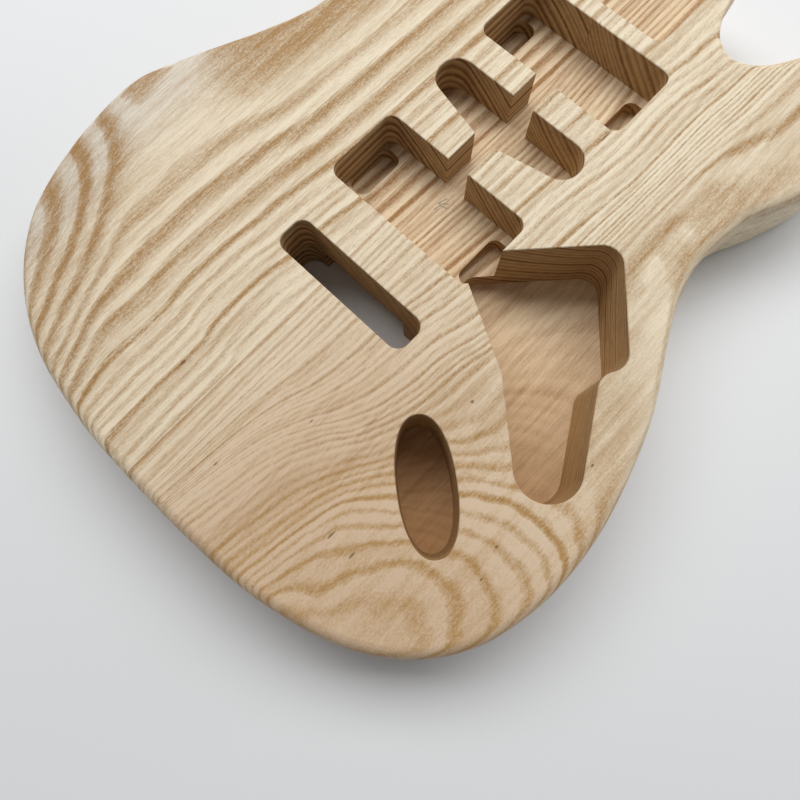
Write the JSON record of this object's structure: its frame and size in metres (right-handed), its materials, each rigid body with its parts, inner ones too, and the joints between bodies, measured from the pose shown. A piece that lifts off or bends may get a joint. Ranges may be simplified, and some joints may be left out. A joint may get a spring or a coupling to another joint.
{
  "type": "electric guitar body",
  "caption": "Bare ash body of an electric guitar with offset horns, a bolt-on neck pocket, pickup routes, control cavity, jack recess and bridge block slot.",
  "frame": {"origin": "on the back face, on the body's centre line, halfway between the tail and the tip of the bass horn", "axes": "+X towards the treble side, +Y towards the neck, +Z out of the top face"},
  "size_m": [0.324, 0.46, 0.045],
  "materials": {
    "bass_side_ash": "sanded bare ash",
    "treble_side_ash": "sanded bare ash"
  },
  "bodies": {
    "root": {"bass_side_board": "bass_side_ash", "treble_side_board": "treble_side_ash"}
  },
  "joints": []
}
